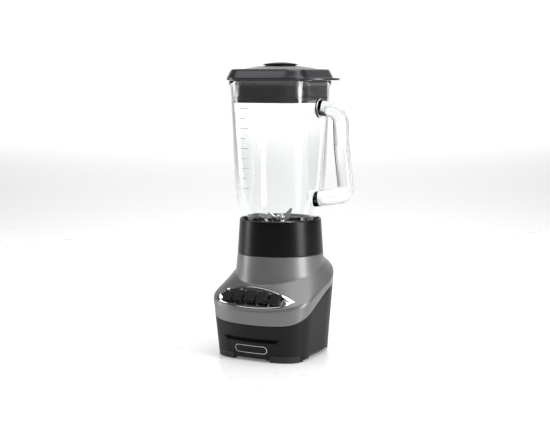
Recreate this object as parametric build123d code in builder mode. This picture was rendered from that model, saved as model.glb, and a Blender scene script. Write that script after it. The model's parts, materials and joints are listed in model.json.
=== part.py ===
from build123d import *
import math
import os

# Countertop blender: a motor base with a row of five push keys, and a glass jar that lifts off it.
# Millimetres. The origin is the drive axis where it meets the worktop. The front faces -Y, the
# jar's handle points along +X and +Z is up.

# ---- Fits -------------------------------------------------------------------------------------
running_fit = 0.05          # radial clearance of a shaft in its bearing
body_gap = 0.3              # between pieces that move apart

# ---- Base housing -----------------------------------------------------------------------------
wall = 3.0
skirt_bottom = 2.5          # the skirt hangs this far above the worktop
foot_half_width = 63.5      # outline on the worktop
foot_front = 80.5
foot_side = 45.0
foot_corner = 31.0
crease_half_width = 72.5    # outline in the sloped plane where shoulder and side band meet
crease_front = 93.6
crease_side = 48.0
crease_corner = 38.0
crease_height = 99.0        # of that plane on the drive axis
crease_tilt = 19.1
shoulder_radius = 58.0      # top of the sloped shoulder, inside the neck
shoulder_height = 117.75
shoulder_tilt = 14.9
neck_bottom = 96.0
neck_bottom_radius = 61.2
neck_top = 133.6
neck_top_radius = 57.6
deck_top = 118.0            # floor of the recess that takes the jar's collar
deck_thickness = 4.0
recess_radius = 54.4
parting_front = 48.5        # height of the line between grey hood and black body, front and rear
parting_rear = 98.5
cover_top = 6.0             # bottom cover
cover_bottom = 3.0
flange_top = 9.5            # inward flange of the body, above the cover
flange_width = 16.0
post_bottom = 30.0          # hood posts for the housing screws
lug_count = 4
lug_width = 8.0
lug_depth = 6.0
lug_height = 6.0
post_radius = 5.0
deck_hole_radius = 7.0
front_arch_width = 44.0     # the skirt arches up between the feet
front_arch_height = 4.5
side_arch_length = 62.0
side_arch_height = 7.0
side_arch_centre = -8.0
slot_top = 31.0             # shadow slot across the front
slot_bottom = 26.0
slot_top_half = 40.0
slot_bottom_half = 35.0
slot_depth = 2.0
badge_height = 16.0
badge_length = 48.0
badge_width = 11.0
badge_corner = 5.0
badge_proud = 0.6
gland_height = 22.0
gland_seat = 69.0           # how far back the gland's flange stands
gland_radius = 5.9
gland_flange_radius = 8.0
gland_hole_radius = 3.6
vent_count = 7
vent_pitch = 9.0
vent_width = 4.5
vent_length = 50.0
foot_round = 0.8
screw_head_radius = 4.0

# ---- Control panel ----------------------------------------------------------------------------
panel_centre_y = -74.5
panel_centre_z = 83.5
panel_slope = 48.0
bezel_half_length = 57.0
bezel_half_width = 17.8
bezel_rim = 2.6
key_count = 5
key_pitch = 17.4
key_row_shift = -3.0        # the row sits towards the round end of the bezel
key_width = 14.6
key_length = 15.5
key_travel = 3.5
key_proud = 5.0             # height of a key above the panel centre
key_depth = 6.0
stem_size = 5.0
stem_end = -20.0
switch_top = -16.0
switch_bottom = -30.0
panel_bow = 130.0           # radius of the panel's bow from side to side
spring_turns = 4
spring_end_gap = 0.4
spring_radius = 4.2
spring_wire_radius = 0.35
bezel_proud = 1.0           # above the housing
bezel_dish_depth = 3.2      # of the dish floor below the housing
bezel_back_depth = 5.0
bezel_reach_in = 26.0       # of the prisms that cut and shape the bezel
bezel_reach_out = 12.0

# ---- Motor ------------------------------------------------------------------------------------
shaft_radius = 4.0
stator_bottom = 56.0
stator_top = 88.0
stator_width = 80.0
stator_depth = 66.0
armature_radius = 21.5
air_gap = 0.7
upper_plate = 98.0
bracket_thickness = 4.0
lower_plate = 26.0
screw_radius = 2.0
bearing_radius = 9.0
winding_inner = 25.0
winding_outer = 31.5
winding_overhang = 7.0
leg_span = 15.0
brush_bottom = 36.0
brush_width = 5.0
brush_height = 6.0
commutator_radius = 11.0
commutator_bottom = 34.0
slot_count = 12
fan_blades = 9
shaft_bottom = 11.5
shaft_top = 132.0
bearing_height = 10.0
bearing_housing_radius = 12.0
spacer_radius = 4.5         # round the motor bolts
motor_head_radius = 3.8
winding_head = 9.0          # end turns of the armature
winding_head_radius = 18.0
armature_slot_radius = 2.2
commutator_length = 11.0
fan_plate = 17.0
fan_radius = 34.0
fan_hub_radius = 8.0
fan_vane_length = 24.0
fan_vane_height = 6.0
fan_vane_twist = 28.0

# ---- Jar base and blades ----------------------------------------------------------------------
collar_bottom = neck_top + body_gap
collar_top = 179.4
collar_bottom_radius = 57.5
collar_top_radius = 54.4
collar_wall = 3.0
ledge_bottom = 150.0
ledge_top = 154.0
spigot_bottom = 120.0
spigot_radius = recess_radius - 0.5
thread_radius = 45.8
carrier_top = 157.0
thread_top = 172.0
ledge_hole_radius = 28.0
carrier_bottom = 147.0
carrier_hub_top = 168.0
bushing_radius = 7.0
stud_bottom = 119.0
stud_top = 136.0
stud_flange_radius = 13.0
star_core_radius = 7.0
star_lobe_radius = 2.2
star_lobe_ring = 7.5
socket_radius = 15.0
carrier_radius = 43.5
star_lobes = 6
socket_bottom = 124.5
socket_web = 137.5          # top of the socket's star cavity
lower_blade_bottom = 171.5
upper_blade_bottom = 175.5
blade_thickness = 1.5
bend_start = 10.0
blade_shaft_top = 183.0

# ---- Jar --------------------------------------------------------------------------------------
glass = 4.5
jar_neck_radius = 44.0
jar_foot = 159.5
jar_rim = 361.7
handle_radius = 11.3
handle_root_radius = 12.5
neck_height = 18.0
bead_proud = 1.3

# ---- Lid --------------------------------------------------------------------------------------
lid_bottom = jar_rim + body_gap
lid_half = 58.9
lid_corner = 26.0
lid_band_top = 365.0        # the sides are upright up to here, then slope inwards
lid_slope = 27.0
lid_edge_top = 376.5
crown_radius = 50.0
crown_top = 382.0
crown_sphere = 230.0
lid_wall = 2.5
skirt_half = 51.9
skirt_corner = 27.0
skirt_bottom_height = 333.0
gasket_top = 341.0
gasket_half = 52.5
tab_centre = 24.5
tab_radius = 56.5
tab_thickness = 3.0
cap_radius = 23.0
cap_plug_radius = 20.0
cap_sphere = 110.0
cap_top = 385.5
cap_seat = 382.2
cap_bottom = 370.0

BOTTOM = (Align.CENTER, Align.CENTER, Align.MIN)
TOP = (Align.CENTER, Align.CENTER, Align.MAX)

os.makedirs("parts", exist_ok=True)


# ==== Shared shapes ============================================================================
def tilted_plane(height, tilt):
    """Plane that crosses the drive axis at a height and rises towards the rear."""
    return Plane.XY.offset(height).rotated((tilt, 0, 0))


def housing_outline(plane, half_width, front_reach, side_length, corner_radius):
    """Round rear, straight sides, round front corners and a bowed front, all tangent."""
    corner_x = half_width - corner_radius
    depth = front_reach - side_length
    front_radius = (corner_x**2 + depth**2 - corner_radius**2) / (2 * (depth - corner_radius))
    front_centre = front_radius - front_reach
    swing = math.degrees(math.atan2(side_length + front_centre, corner_x))
    with BuildSketch(plane) as outline:
        with BuildLine():
            CenterArc((0, 0), half_width, 0, 180)
            Line((-half_width, 0), (-half_width, -side_length))
            CenterArc((-corner_x, -side_length), corner_radius, 180, swing)
            CenterArc((0, front_centre), front_radius, 180 + swing, 180 - 2 * swing)
            CenterArc((corner_x, -side_length), corner_radius, -swing, swing)
            Line((half_width, -side_length), (half_width, 0))
        make_face()
    return outline.sketch


def shoulder_outline(plane, radius):
    """Circle in six arcs, one for each edge of the housing outline."""
    corners = (0, 180, 207, 246, 294, 333, 360)
    with BuildSketch(plane) as outline:
        with BuildLine():
            for start, end in zip(corners, corners[1:]):
                CenterArc((0, 0), radius, start, end - start)
        make_face()
    return outline.sketch


def housing_shape(inset):
    """Outside of the base drawn in by an inset: tapered body, sloped shoulder and neck."""
    foot = housing_outline(
        Plane.XY, foot_half_width - inset, foot_front - inset, foot_side, foot_corner - inset
    )
    crease = housing_outline(
        tilted_plane(crease_height - inset / 2, crease_tilt),
        crease_half_width - inset,
        crease_front - inset,
        crease_side,
        crease_corner - inset,
    )
    shoulder = shoulder_outline(
        tilted_plane(shoulder_height - inset / 2, shoulder_tilt), shoulder_radius - inset
    )
    with BuildPart() as shape:
        loft(sections=[foot.face(), crease.face()], ruled=True)
        loft(sections=[crease.face(), shoulder.face()], ruled=True)
        with Locations((0, 0, neck_bottom)):
            Cone(
                neck_bottom_radius - inset,
                neck_top_radius - inset,
                neck_top - neck_bottom,
                align=BOTTOM,
            )
    return shape.part


outer_shape = housing_shape(0)
inner_shape = housing_shape(wall)

# Everything above the parting line between hood and body, seen from the side.
with BuildPart() as above_parting:
    with BuildSketch(Plane.YZ):
        with BuildLine():
            parting = FilletPolyline(
                (-110, parting_front), (-76.8, parting_front), (3.4, 91), (110, parting_rear),
                radius=[40, 90],
            )
            Polyline(parting @ 1, (110, 150), (-110, 150), parting @ 0)
        make_face()
    extrude(amount=100, both=True)

panel_plane = Plane(
    origin=(0, panel_centre_y, panel_centre_z),
    x_dir=(1, 0, 0),
    z_dir=(0, -math.sin(math.radians(panel_slope)), math.cos(math.radians(panel_slope))),
)
key_places = [key_row_shift + key_pitch * (i - (key_count - 1) / 2) for i in range(key_count)]
foot_places = {
    "front_left": (-44, -66), "front_right": (44, -66), "rear_left": (-40, 50), "rear_right": (40, 50)
}
foot_block = (34, 30, 9)
post_places = [(-52, -34), (52, -34), (-46, 26), (46, 26)]
mount_places = [(-24, -29), (24, -29), (-24, 29), (24, 29)]
bolt_places = [(-33, -24), (33, -24), (-33, 24), (33, 24)]


def bezel_prism(grow, depth_in, height_out):
    """Prism through the panel with the bezel's outline: one end round, the other pointed."""
    round_end = (-bezel_half_length, 1)
    point = (bezel_half_length, 3)
    upper_left = (-42, 13)
    lower_left = (-47, -9)
    lower_right = (44, -9.5)
    with BuildPart() as prism:
        with BuildSketch(panel_plane.offset(-depth_in)):
            with BuildLine():
                ThreePointArc(upper_left, round_end, lower_left)
                ThreePointArc(lower_left, (-3, -bezel_half_width), lower_right)
                Line(lower_right, point)
                ThreePointArc(point, (12, 15), upper_left)
            make_face()
            offset(amount=grow)
        extrude(amount=depth_in + height_out)
    return prism.part


def foot_blocks():
    """The four corner blocks that the rubber feet fill."""
    with BuildPart() as blocks:
        with Locations(*[(x, y, 0) for x, y in foot_places.values()]):
            Box(*foot_block, align=BOTTOM)
    return blocks.part


def winding_sector(plane, start, span):
    """Part of the ring that a field winding fills."""
    with BuildSketch(plane) as sector:
        with BuildLine():
            inner = CenterArc((0, 0), winding_inner, start, span)
            outer = CenterArc((0, 0), winding_outer, start, span)
            Line(inner @ 0, outer @ 0)
            Line(inner @ 1, outer @ 1)
        make_face()
    return sector.sketch


def star(clearance):
    """Lobed profile of the drive coupling."""
    with BuildSketch() as profile:
        Circle(star_core_radius + clearance)
        with PolarLocations(star_lobe_ring, star_lobes):
            Circle(star_lobe_radius + clearance)
    return profile.sketch


# ==== Base: hood and body ======================================================================
with BuildPart() as hood:
    add(outer_shape)
    add(inner_shape, mode=Mode.SUBTRACT)
    add(above_parting.part, mode=Mode.INTERSECT)
    # deck that closes the neck, and posts for the motor mount and the housing screws
    with Locations((0, 0, deck_top)):
        Cylinder(recess_radius + 1, deck_thickness, align=TOP)
    with Locations(*[(x, y, upper_plate + bracket_thickness) for x, y in mount_places]):
        Cylinder(post_radius, deck_top - upper_plate - bracket_thickness - 1, align=BOTTOM)
    with Locations(*[(x, y, post_bottom) for x, y in post_places]):
        Cylinder(post_radius, 150 - post_bottom, align=BOTTOM)
    add(outer_shape, mode=Mode.INTERSECT)
    with Locations(*[(x, y, 0) for x, y in mount_places]):
        Cylinder(screw_radius, 112, align=BOTTOM, mode=Mode.SUBTRACT)
    with Locations(*[(x, y, 0) for x, y in post_places]):
        Cylinder(screw_radius, 45, align=BOTTOM, mode=Mode.SUBTRACT)
    # recess for the jar's collar, with lugs that stop the jar turning
    with Locations((0, 0, deck_top)):
        Cylinder(recess_radius, 20, align=BOTTOM, mode=Mode.SUBTRACT)
    Cylinder(deck_hole_radius, 300, mode=Mode.SUBTRACT)
    with PolarLocations(recess_radius - 2.4, lug_count, start_angle=45):
        with Locations((0, 0, deck_top)):
            Box(lug_depth, lug_width, lug_height, align=BOTTOM)
    add(bezel_prism(0.15, 30, 30), mode=Mode.SUBTRACT)
hood.part.label = "hood"
export_step(hood.part, "parts/hood.step")

with BuildPart() as cavity:
    add(inner_shape)
    Box(300, 300, 2 * flange_top, mode=Mode.SUBTRACT)


def base_plate(bottom, top, inset):
    """Slab with the outline of the base, drawn in."""
    outline = housing_outline(
        Plane.XY.offset(bottom), foot_half_width - inset, foot_front - inset,
        foot_side, foot_corner - inset,
    )
    with BuildPart() as slab:
        extrude(outline, amount=top - bottom)
    return slab.part


# shadow slot across the front, shallower than the wall
with BuildPart() as shadow_slot:
    with BuildSketch(Plane.XZ.offset(foot_front + 10)):
        with BuildLine():
            Polyline(
                (-slot_top_half, slot_top), (slot_top_half, slot_top),
                (slot_bottom_half, slot_bottom), (-slot_bottom_half, slot_bottom),
                close=True,
            )
        make_face()
    extrude(amount=-30)
    add(housing_shape(slot_depth), mode=Mode.SUBTRACT)

with BuildPart() as lower_body:
    add(outer_shape)
    add(above_parting.part, mode=Mode.SUBTRACT)
    add(cavity.part, mode=Mode.SUBTRACT)
    add(base_plate(-1, flange_top + 1, flange_width), mode=Mode.SUBTRACT)
    add(base_plate(-1, cover_top, wall), mode=Mode.SUBTRACT)
    # the skirt clears the worktop and arches up between the feet
    Box(300, 300, 2 * skirt_bottom, mode=Mode.SUBTRACT)
    Box(front_arch_width, 300, 2 * front_arch_height, mode=Mode.SUBTRACT)
    with Locations((0, side_arch_centre, 0)):
        Box(300, side_arch_length, 2 * side_arch_height, mode=Mode.SUBTRACT)
    add(foot_blocks(), mode=Mode.SUBTRACT)
    add(shadow_slot.part, mode=Mode.SUBTRACT)
    with Locations(*[(x, y, 0) for x, y in post_places]):
        Cylinder(screw_radius + 0.4, 20, align=BOTTOM, mode=Mode.SUBTRACT)
    # cable hole at the back
    with Locations((0, 60, gland_height)):
        Cylinder(gland_radius + 0.1, 40, rotation=(90, 0, 0), mode=Mode.SUBTRACT)
lower_body.part.label = "lower_body"
export_step(lower_body.part, "parts/lower_body.step")

for place, (x, y) in foot_places.items():
    with BuildPart() as foot:
        with Locations((x, y, 0)):
            Box(*foot_block, align=BOTTOM)
        add(outer_shape, mode=Mode.INTERSECT)
        add(base_plate(cover_bottom, 20, wall), mode=Mode.SUBTRACT)
        fillet(foot.edges().group_by(Axis.Z)[0], foot_round)
    foot.part.label = f"foot_{place}"
    export_step(foot.part, f"parts/foot_{place}.step")

with BuildPart() as bottom_cover:
    add(base_plate(cover_bottom, cover_top, wall + 0.2))
    with Locations(*[(x, y, 0) for x, y in post_places]):
        Cylinder(screw_radius + 0.4, 20, align=BOTTOM, mode=Mode.SUBTRACT)
    with GridLocations(vent_pitch, vent_length, vent_count, 1):
        Box(vent_width, vent_length, 40, mode=Mode.SUBTRACT)
bottom_cover.part.label = "bottom_cover"
export_step(bottom_cover.part, "parts/bottom_cover.step")

with BuildPart() as housing_screws:
    with Locations(*[(x, y, cover_bottom - 2.2) for x, y in post_places]):
        Cylinder(screw_head_radius, 2.2, align=BOTTOM)
        Cylinder(screw_radius - 0.02, 38, align=BOTTOM)
        Cylinder(2, 1, align=BOTTOM, mode=Mode.SUBTRACT)
housing_screws.part.label = "housing_screws"
export_step(housing_screws.part, "parts/housing_screws.step")

with BuildPart() as cord_gland:
    with Locations(Location((0, gland_seat, gland_height), (90, 0, 0))):
        Cylinder(gland_flange_radius, 2.2, align=BOTTOM)
        Cylinder(gland_radius, 9, align=BOTTOM)
        Cylinder(gland_hole_radius, 9, align=BOTTOM, mode=Mode.SUBTRACT)
cord_gland.part.label = "cord_gland"
export_step(cord_gland.part, "parts/cord_gland.step")

with BuildPart() as badge:
    with BuildSketch(Plane.XZ.offset(foot_front + 10)):
        with Locations((0, badge_height)):
            RectangleRounded(badge_length, badge_width, badge_corner)
    extrude(amount=-20)
    add(housing_shape(-badge_proud), mode=Mode.INTERSECT)
    add(outer_shape, mode=Mode.SUBTRACT)
badge.part.label = "badge"
export_step(badge.part, "parts/badge.step")

# ==== Base: control panel ======================================================================
with BuildPart() as bezel_dish:
    add(bezel_prism(-bezel_rim, bezel_reach_in, bezel_reach_out))
    add(housing_shape(bezel_dish_depth), mode=Mode.SUBTRACT)

with BuildPart() as bezel:
    add(bezel_prism(0, bezel_reach_in, bezel_reach_out))
    add(housing_shape(-bezel_proud), mode=Mode.INTERSECT)
    add(housing_shape(bezel_back_depth), mode=Mode.SUBTRACT)
    add(bezel_dish.part, mode=Mode.SUBTRACT)
    with BuildSketch(panel_plane.offset(-bezel_reach_in)):
        with Locations(*[(x, 0) for x in key_places]):
            RectangleRounded(key_width + 1, key_length + 1, 2)
    extrude(amount=40, mode=Mode.SUBTRACT)
bezel.part.label = "bezel"
export_step(bezel.part, "parts/bezel.step")

for number, key_x in enumerate(key_places, start=1):
    # the keys follow the bow of the panel: each stands back by its distance from the middle
    key_back = key_x**2 / (2 * panel_bow)
    with BuildPart() as key:
        with BuildSketch(panel_plane.offset(key_proud - key_depth - key_back)):
            with Locations((key_x, 0)):
                RectangleRounded(key_width, key_length, 1.6)
        extrude(amount=key_depth)
        fillet(key.faces().filter_by(panel_plane).sort_by(Axis.Z)[-1].edges(), 1.2)
        with BuildSketch(panel_plane.offset(stem_end)):
            with Locations((key_x, 0)):
                Rectangle(stem_size, stem_size)
        extrude(amount=key_proud - key_depth - key_back - stem_end)
    key.part.label = f"key_{number}"
    export_step(key.part, f"parts/key_{number}.step")

    spring_height = key_proud - key_depth - key_back - switch_top - 2 * spring_end_gap
    spring_foot = panel_plane.from_local_coords(
        (key_x, 0, switch_top + spring_end_gap)
    )
    with BuildPart() as key_spring:
        with BuildLine():
            coil = Helix(
                pitch=spring_height / spring_turns, height=spring_height, radius=spring_radius,
                center=spring_foot, direction=panel_plane.z_dir,
            )
        with BuildSketch(Plane(origin=coil @ 0, z_dir=coil % 0)):
            Circle(spring_wire_radius)
        sweep(path=coil, is_frenet=True)
    key_spring.part.label = f"key_spring_{number}"
    export_step(key_spring.part, f"parts/key_spring_{number}.step")

with BuildPart() as switch_block:
    with BuildSketch(panel_plane.offset(switch_bottom)):
        with Locations((key_row_shift, 0)):
            RectangleRounded(key_count * key_pitch + 6, 20, 2)
    extrude(amount=switch_top - switch_bottom)
    with BuildSketch(panel_plane.offset(switch_top)):
        with Locations(*[(x, 0) for x in key_places]):
            Rectangle(stem_size + 2 * body_gap, stem_size + 2 * body_gap)
    extrude(amount=-10, mode=Mode.SUBTRACT)
switch_block.part.label = "switch_block"
export_step(switch_block.part, "parts/switch_block.step")

# ==== Motor: stationary pieces =================================================================
with BuildPart() as motor_mount:
    with BuildSketch(Plane.XY.offset(upper_plate)):
        RectangleRounded(72, 72, 12)
        with GridLocations(40, 40, 2, 2):
            Circle(7, mode=Mode.SUBTRACT)
        with Locations(*mount_places):
            Circle(6)
            Circle(screw_radius + 0.3, mode=Mode.SUBTRACT)
    extrude(amount=bracket_thickness)
    with Locations((0, 0, upper_plate)):
        Cylinder(bearing_housing_radius, 12, align=BOTTOM)
        Cylinder(bearing_radius, 30, mode=Mode.SUBTRACT)
    with Locations(*[(x, y, stator_top) for x, y in bolt_places]):
        Cylinder(spacer_radius, upper_plate - stator_top, align=BOTTOM)
    with Locations(*[(x, y, 0) for x, y in bolt_places]):
        Cylinder(screw_radius, 101, align=BOTTOM, mode=Mode.SUBTRACT)
motor_mount.part.label = "motor_mount"
export_step(motor_mount.part, "parts/motor_mount.step")

with BuildPart() as lower_bracket:
    with BuildSketch(Plane.XY.offset(lower_plate)):
        Rectangle(26, stator_depth)
        Circle(14)
        with GridLocations(0, stator_depth - 10, 1, 2):
            Rectangle(64, 10)
    extrude(amount=bracket_thickness)
    with Locations((0, 0, lower_plate - 6)):
        Cylinder(bearing_housing_radius, bearing_height, align=BOTTOM)
    Cylinder(bearing_radius, 100, mode=Mode.SUBTRACT)
    with Locations(*[(x, y, lower_plate) for x, y in bolt_places]):
        Cylinder(spacer_radius, stator_bottom - lower_plate, align=BOTTOM)
    with Locations(*[(x, y, 0) for x, y in bolt_places]):
        Cylinder(screw_radius, 101, align=BOTTOM, mode=Mode.SUBTRACT)
lower_bracket.part.label = "lower_bracket"
export_step(lower_bracket.part, "parts/lower_bracket.step")

with BuildPart() as stator_core:
    with BuildSketch(Plane.XY.offset(stator_bottom)):
        RectangleRounded(stator_width, stator_depth, 12)
        Circle(armature_radius + air_gap, mode=Mode.SUBTRACT)
        with Locations(*bolt_places):
            Circle(screw_radius, mode=Mode.SUBTRACT)
    extrude(amount=stator_top - stator_bottom)
    for start in (35, 130, 215, 310):
        leg = winding_sector(Plane.XY.offset(stator_bottom), start, leg_span)
        extrude(leg, amount=stator_top - stator_bottom, mode=Mode.SUBTRACT)
stator_core.part.label = "stator_core"
export_step(stator_core.part, "parts/stator_core.step")

with BuildPart() as field_windings:
    for middle in (90, 270):
        for bottom in (stator_bottom - winding_overhang, stator_top):
            end_turn = winding_sector(Plane.XY.offset(bottom), middle - 55, 110)
            extrude(end_turn, amount=winding_overhang)
        for start in (middle - 55, middle + 40):
            leg = winding_sector(Plane.XY.offset(stator_bottom), start, leg_span)
            extrude(leg, amount=stator_top - stator_bottom)
field_windings.part.label = "field_windings"
export_step(field_windings.part, "parts/field_windings.step")

for name, bottom in (("upper_bearing", upper_plate + 1), ("lower_bearing", lower_plate - 6)):
    with BuildPart() as bearing:
        with Locations((0, 0, bottom)):
            Cylinder(bearing_radius, bearing_height, align=BOTTOM)
            Cylinder(
                shaft_radius + running_fit, bearing_height, align=BOTTOM, mode=Mode.SUBTRACT
            )
        chamfer(bearing.edges().filter_by(GeomType.CIRCLE), 0.5)
    bearing.part.label = name
    export_step(bearing.part, f"parts/{name}.step")

bracket_top = lower_plate + bracket_thickness
with BuildPart() as brush_holders:
    with Locations(*[(0, side * 22, bracket_top) for side in (-1, 1)]):
        Box(10, 16, 14, align=BOTTOM)
    with Locations((0, 0, brush_bottom)):
        Box(brush_width, 100, brush_height, align=BOTTOM, mode=Mode.SUBTRACT)
brush_holders.part.label = "brush_holders"
export_step(brush_holders.part, "parts/brush_holders.step")

with BuildPart() as carbon_brushes:
    with Locations((0, 0, brush_bottom)):
        Box(brush_width, 56, brush_height, align=BOTTOM)
        Cylinder(commutator_radius + running_fit, 20, mode=Mode.SUBTRACT)
carbon_brushes.part.label = "carbon_brushes"
export_step(carbon_brushes.part, "parts/carbon_brushes.step")

with BuildPart() as motor_screws:
    with Locations(*[(x, y, lower_plate - 3) for x, y in bolt_places]):
        Cylinder(motor_head_radius, 3, align=BOTTOM)
        Cylinder(screw_radius - 0.02, 76, align=BOTTOM)
    with Locations(*[(x, y, upper_plate - 2.5) for x, y in mount_places]):
        Cylinder(motor_head_radius, 2.5, align=BOTTOM)
        Cylinder(screw_radius - 0.02, 14, align=BOTTOM)
motor_screws.part.label = "motor_screws"
export_step(motor_screws.part, "parts/motor_screws.step")

# ==== Motor: turning pieces ====================================================================
with BuildPart() as motor_shaft:
    with Locations((0, 0, shaft_bottom)):
        Cylinder(shaft_radius, shaft_top - shaft_bottom, align=BOTTOM)
    chamfer(motor_shaft.edges().filter_by(GeomType.CIRCLE), 0.6)
motor_shaft.part.label = "motor_shaft"
export_step(motor_shaft.part, "parts/motor_shaft.step")

with BuildPart() as armature_core:
    with BuildSketch(Plane.XY.offset(stator_bottom)):
        Circle(armature_radius)
        Circle(shaft_radius, mode=Mode.SUBTRACT)
        with PolarLocations(armature_radius - 3, slot_count):
            Rectangle(8, 2, mode=Mode.SUBTRACT)
            Circle(armature_slot_radius, mode=Mode.SUBTRACT)
    extrude(amount=stator_top - stator_bottom)
armature_core.part.label = "armature_core"
export_step(armature_core.part, "parts/armature_core.step")

with BuildPart() as armature_windings:
    for bottom in (stator_bottom - winding_head, stator_top):
        with Locations((0, 0, bottom)):
            Cylinder(winding_head_radius, winding_head, align=BOTTOM)
            Cylinder(shaft_radius, winding_head, align=BOTTOM, mode=Mode.SUBTRACT)
    fillet(armature_windings.edges().group_by(Axis.Z)[0].sort_by(SortBy.RADIUS)[-1], 3)
    fillet(armature_windings.edges().group_by(Axis.Z)[-1].sort_by(SortBy.RADIUS)[-1], 3)
    with PolarLocations(armature_radius - 3, slot_count):
        with Locations((0, 0, stator_bottom)):
            Cylinder(armature_slot_radius - 0.2, stator_top - stator_bottom, align=BOTTOM)
armature_windings.part.label = "armature_windings"
export_step(armature_windings.part, "parts/armature_windings.step")

with BuildPart() as commutator:
    with BuildSketch(Plane.XY.offset(commutator_bottom)):
        Circle(commutator_radius)
        Circle(shaft_radius, mode=Mode.SUBTRACT)
        with PolarLocations(commutator_radius, 2 * slot_count):
            Rectangle(2, 0.6, mode=Mode.SUBTRACT)
    extrude(amount=commutator_length)
commutator.part.label = "commutator"
export_step(commutator.part, "parts/commutator.step")

with BuildPart() as cooling_fan:
    with Locations((0, 0, fan_plate)):
        Cylinder(fan_radius, 1.6, align=BOTTOM)
    with Locations((0, 0, shaft_bottom)):
        Cylinder(fan_hub_radius, 7, align=BOTTOM)
        with PolarLocations(21, fan_blades):
            Box(
                fan_vane_length, 1.6, fan_vane_height, rotation=(0, 0, fan_vane_twist),
                align=BOTTOM,
            )
    Cylinder(shaft_radius, 60, mode=Mode.SUBTRACT)
cooling_fan.part.label = "cooling_fan"
export_step(cooling_fan.part, "parts/cooling_fan.step")

with BuildPart() as drive_stud:
    with Locations((0, 0, stud_bottom)):
        Cylinder(stud_flange_radius, 3, align=BOTTOM)
    with BuildSketch(Plane.XY.offset(stud_bottom)):
        add(star(0))
    extrude(amount=stud_top - stud_bottom)
    chamfer(drive_stud.faces().sort_by(Axis.Z)[-1].edges(), 0.8)
    with Locations((0, 0, stud_bottom)):
        Cylinder(shaft_radius, shaft_top - stud_bottom, align=BOTTOM, mode=Mode.SUBTRACT)
drive_stud.part.label = "drive_stud"
export_step(drive_stud.part, "parts/drive_stud.step")

# ==== Jar base =================================================================================
with BuildPart() as jar_collar:
    with BuildSketch(Plane.XZ):
        with BuildLine():
            Polyline(
                (collar_bottom_radius, collar_bottom),
                (collar_top_radius, collar_top),
                (collar_top_radius - collar_wall, collar_top),
                (collar_bottom_radius - collar_wall - 1.5, ledge_top),
                (thread_radius + 2.5, ledge_top),
                (thread_radius + 2.5, thread_top),
                (thread_radius, thread_top),
                (thread_radius, ledge_top),
                (ledge_hole_radius, ledge_top),
                (ledge_hole_radius, ledge_bottom),
                (spigot_radius - 2.5, ledge_bottom),
                (spigot_radius - 2.5, spigot_bottom),
                (spigot_radius, spigot_bottom),
                (spigot_radius, collar_bottom),
                close=True,
            )
        make_face()
    revolve(axis=Axis.Z)
    fillet(jar_collar.edges().filter_by_position(Axis.Z, collar_top - 0.1, collar_top + 0.1), 1.2)
    with PolarLocations(spigot_radius, lug_count, start_angle=45):
        with Locations((0, 0, spigot_bottom)):
            Box(14, lug_width + 1, 2 * (lug_height - 1), mode=Mode.SUBTRACT)
jar_collar.part.label = "jar_collar"
export_step(jar_collar.part, "parts/jar_collar.step")

with BuildPart() as blade_carrier:
    with BuildSketch(Plane.XZ):
        with BuildLine():
            Polyline(
                (bushing_radius, carrier_bottom),
                (12, carrier_bottom),
                (12, ledge_top),
                (carrier_radius, ledge_top),
                (carrier_radius, carrier_top),
                (20, carrier_top),
                (11, carrier_hub_top),
                (bushing_radius, carrier_hub_top),
                close=True,
            )
        make_face()
    revolve(axis=Axis.Z)
blade_carrier.part.label = "blade_carrier"
export_step(blade_carrier.part, "parts/blade_carrier.step")

with BuildPart() as blade_bushing:
    with Locations((0, 0, carrier_bottom)):
        Cylinder(bushing_radius, carrier_hub_top - carrier_bottom + 2, align=BOTTOM)
    Cylinder(shaft_radius + running_fit, 600, mode=Mode.SUBTRACT)
blade_bushing.part.label = "blade_bushing"
export_step(blade_bushing.part, "parts/blade_bushing.step")

with BuildPart() as jar_gasket:
    with BuildSketch(Plane.XZ):
        with Locations((41.7, (carrier_top + jar_foot - body_gap) / 2)):
            RectangleRounded(4.6, jar_foot - body_gap - carrier_top, 0.9)
    revolve(axis=Axis.Z)
jar_gasket.part.label = "jar_gasket"
export_step(jar_gasket.part, "parts/jar_gasket.step")

# ==== Blades ===================================================================================
with BuildPart() as blade_shaft:
    with Locations((0, 0, socket_web)):
        Cylinder(shaft_radius, blade_shaft_top - socket_web, align=BOTTOM)
    chamfer(blade_shaft.edges().filter_by(GeomType.CIRCLE), 0.5)
blade_shaft.part.label = "blade_shaft"
export_step(blade_shaft.part, "parts/blade_shaft.step")

with BuildPart() as drive_socket:
    with Locations((0, 0, socket_bottom)):
        Cylinder(socket_radius, carrier_bottom - 1 - socket_bottom, align=BOTTOM)
    fillet(drive_socket.edges().filter_by(GeomType.CIRCLE), 1)
    with BuildSketch(Plane.XY.offset(socket_bottom)):
        add(star(0.5))
    extrude(amount=socket_web - socket_bottom, mode=Mode.SUBTRACT)
    Cylinder(shaft_radius, 600, mode=Mode.SUBTRACT)
drive_socket.part.label = "drive_socket"
export_step(drive_socket.part, "parts/drive_socket.step")

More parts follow.
